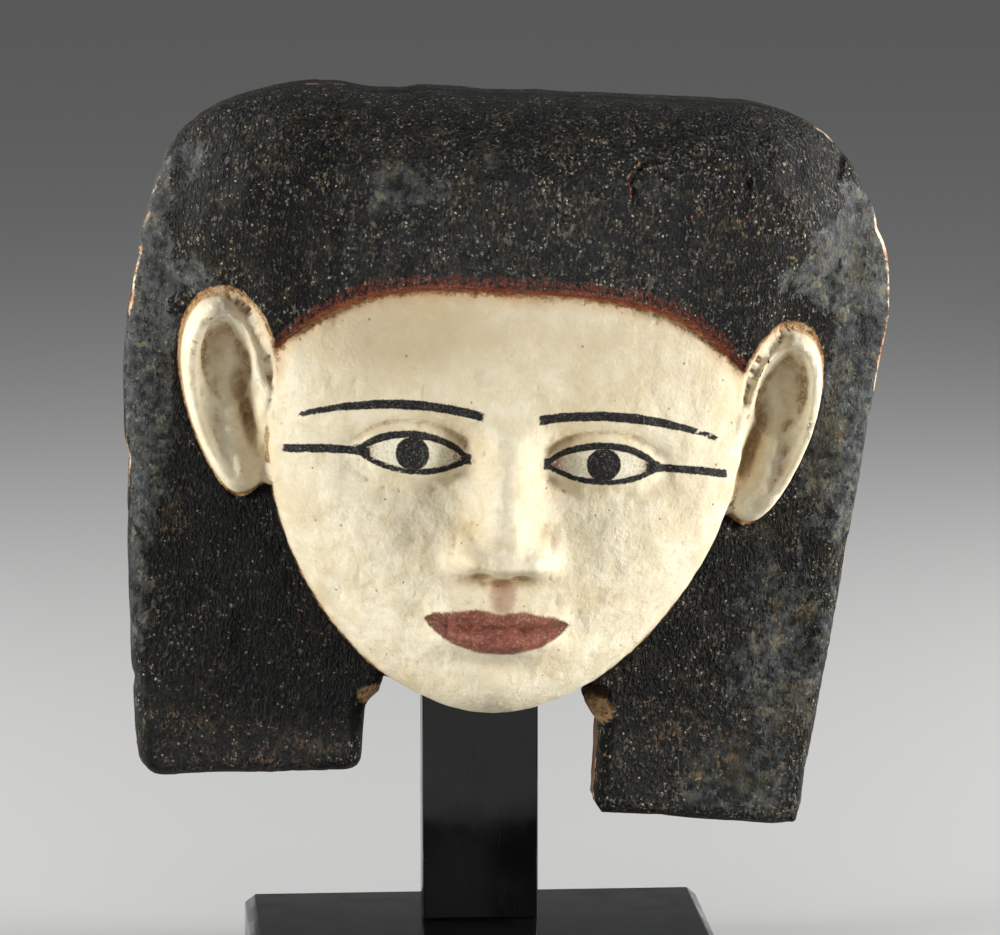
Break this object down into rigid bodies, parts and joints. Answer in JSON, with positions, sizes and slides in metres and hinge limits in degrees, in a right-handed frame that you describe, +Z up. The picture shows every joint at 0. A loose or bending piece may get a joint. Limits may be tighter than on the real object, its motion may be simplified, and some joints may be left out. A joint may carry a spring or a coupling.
{
  "type": "mummy mask on a display stand",
  "caption": "Painted wooden mummy mask, a calm face under a plain black wig with hanging lappets, hollow behind, held upright against a flat post on a bevelled foot.",
  "frame": {"origin": "centre of the foot's underside, where the stand rests on the table", "axes": "+Z up, the face looks along -Y, +X to the right as seen from the front"},
  "size_m": [0.2475, 0.127, 0.2974],
  "materials": {
    "painted_wood": "matt gesso and paint: granular black on the wig, cream on the face and ears, bare brown wood behind",
    "black_acrylic": "polished black"
  },
  "bodies": {
    "root": {"mask": "painted_wood", "stand_post": "black_acrylic", "stand_foot": "black_acrylic"}
  },
  "joints": []
}
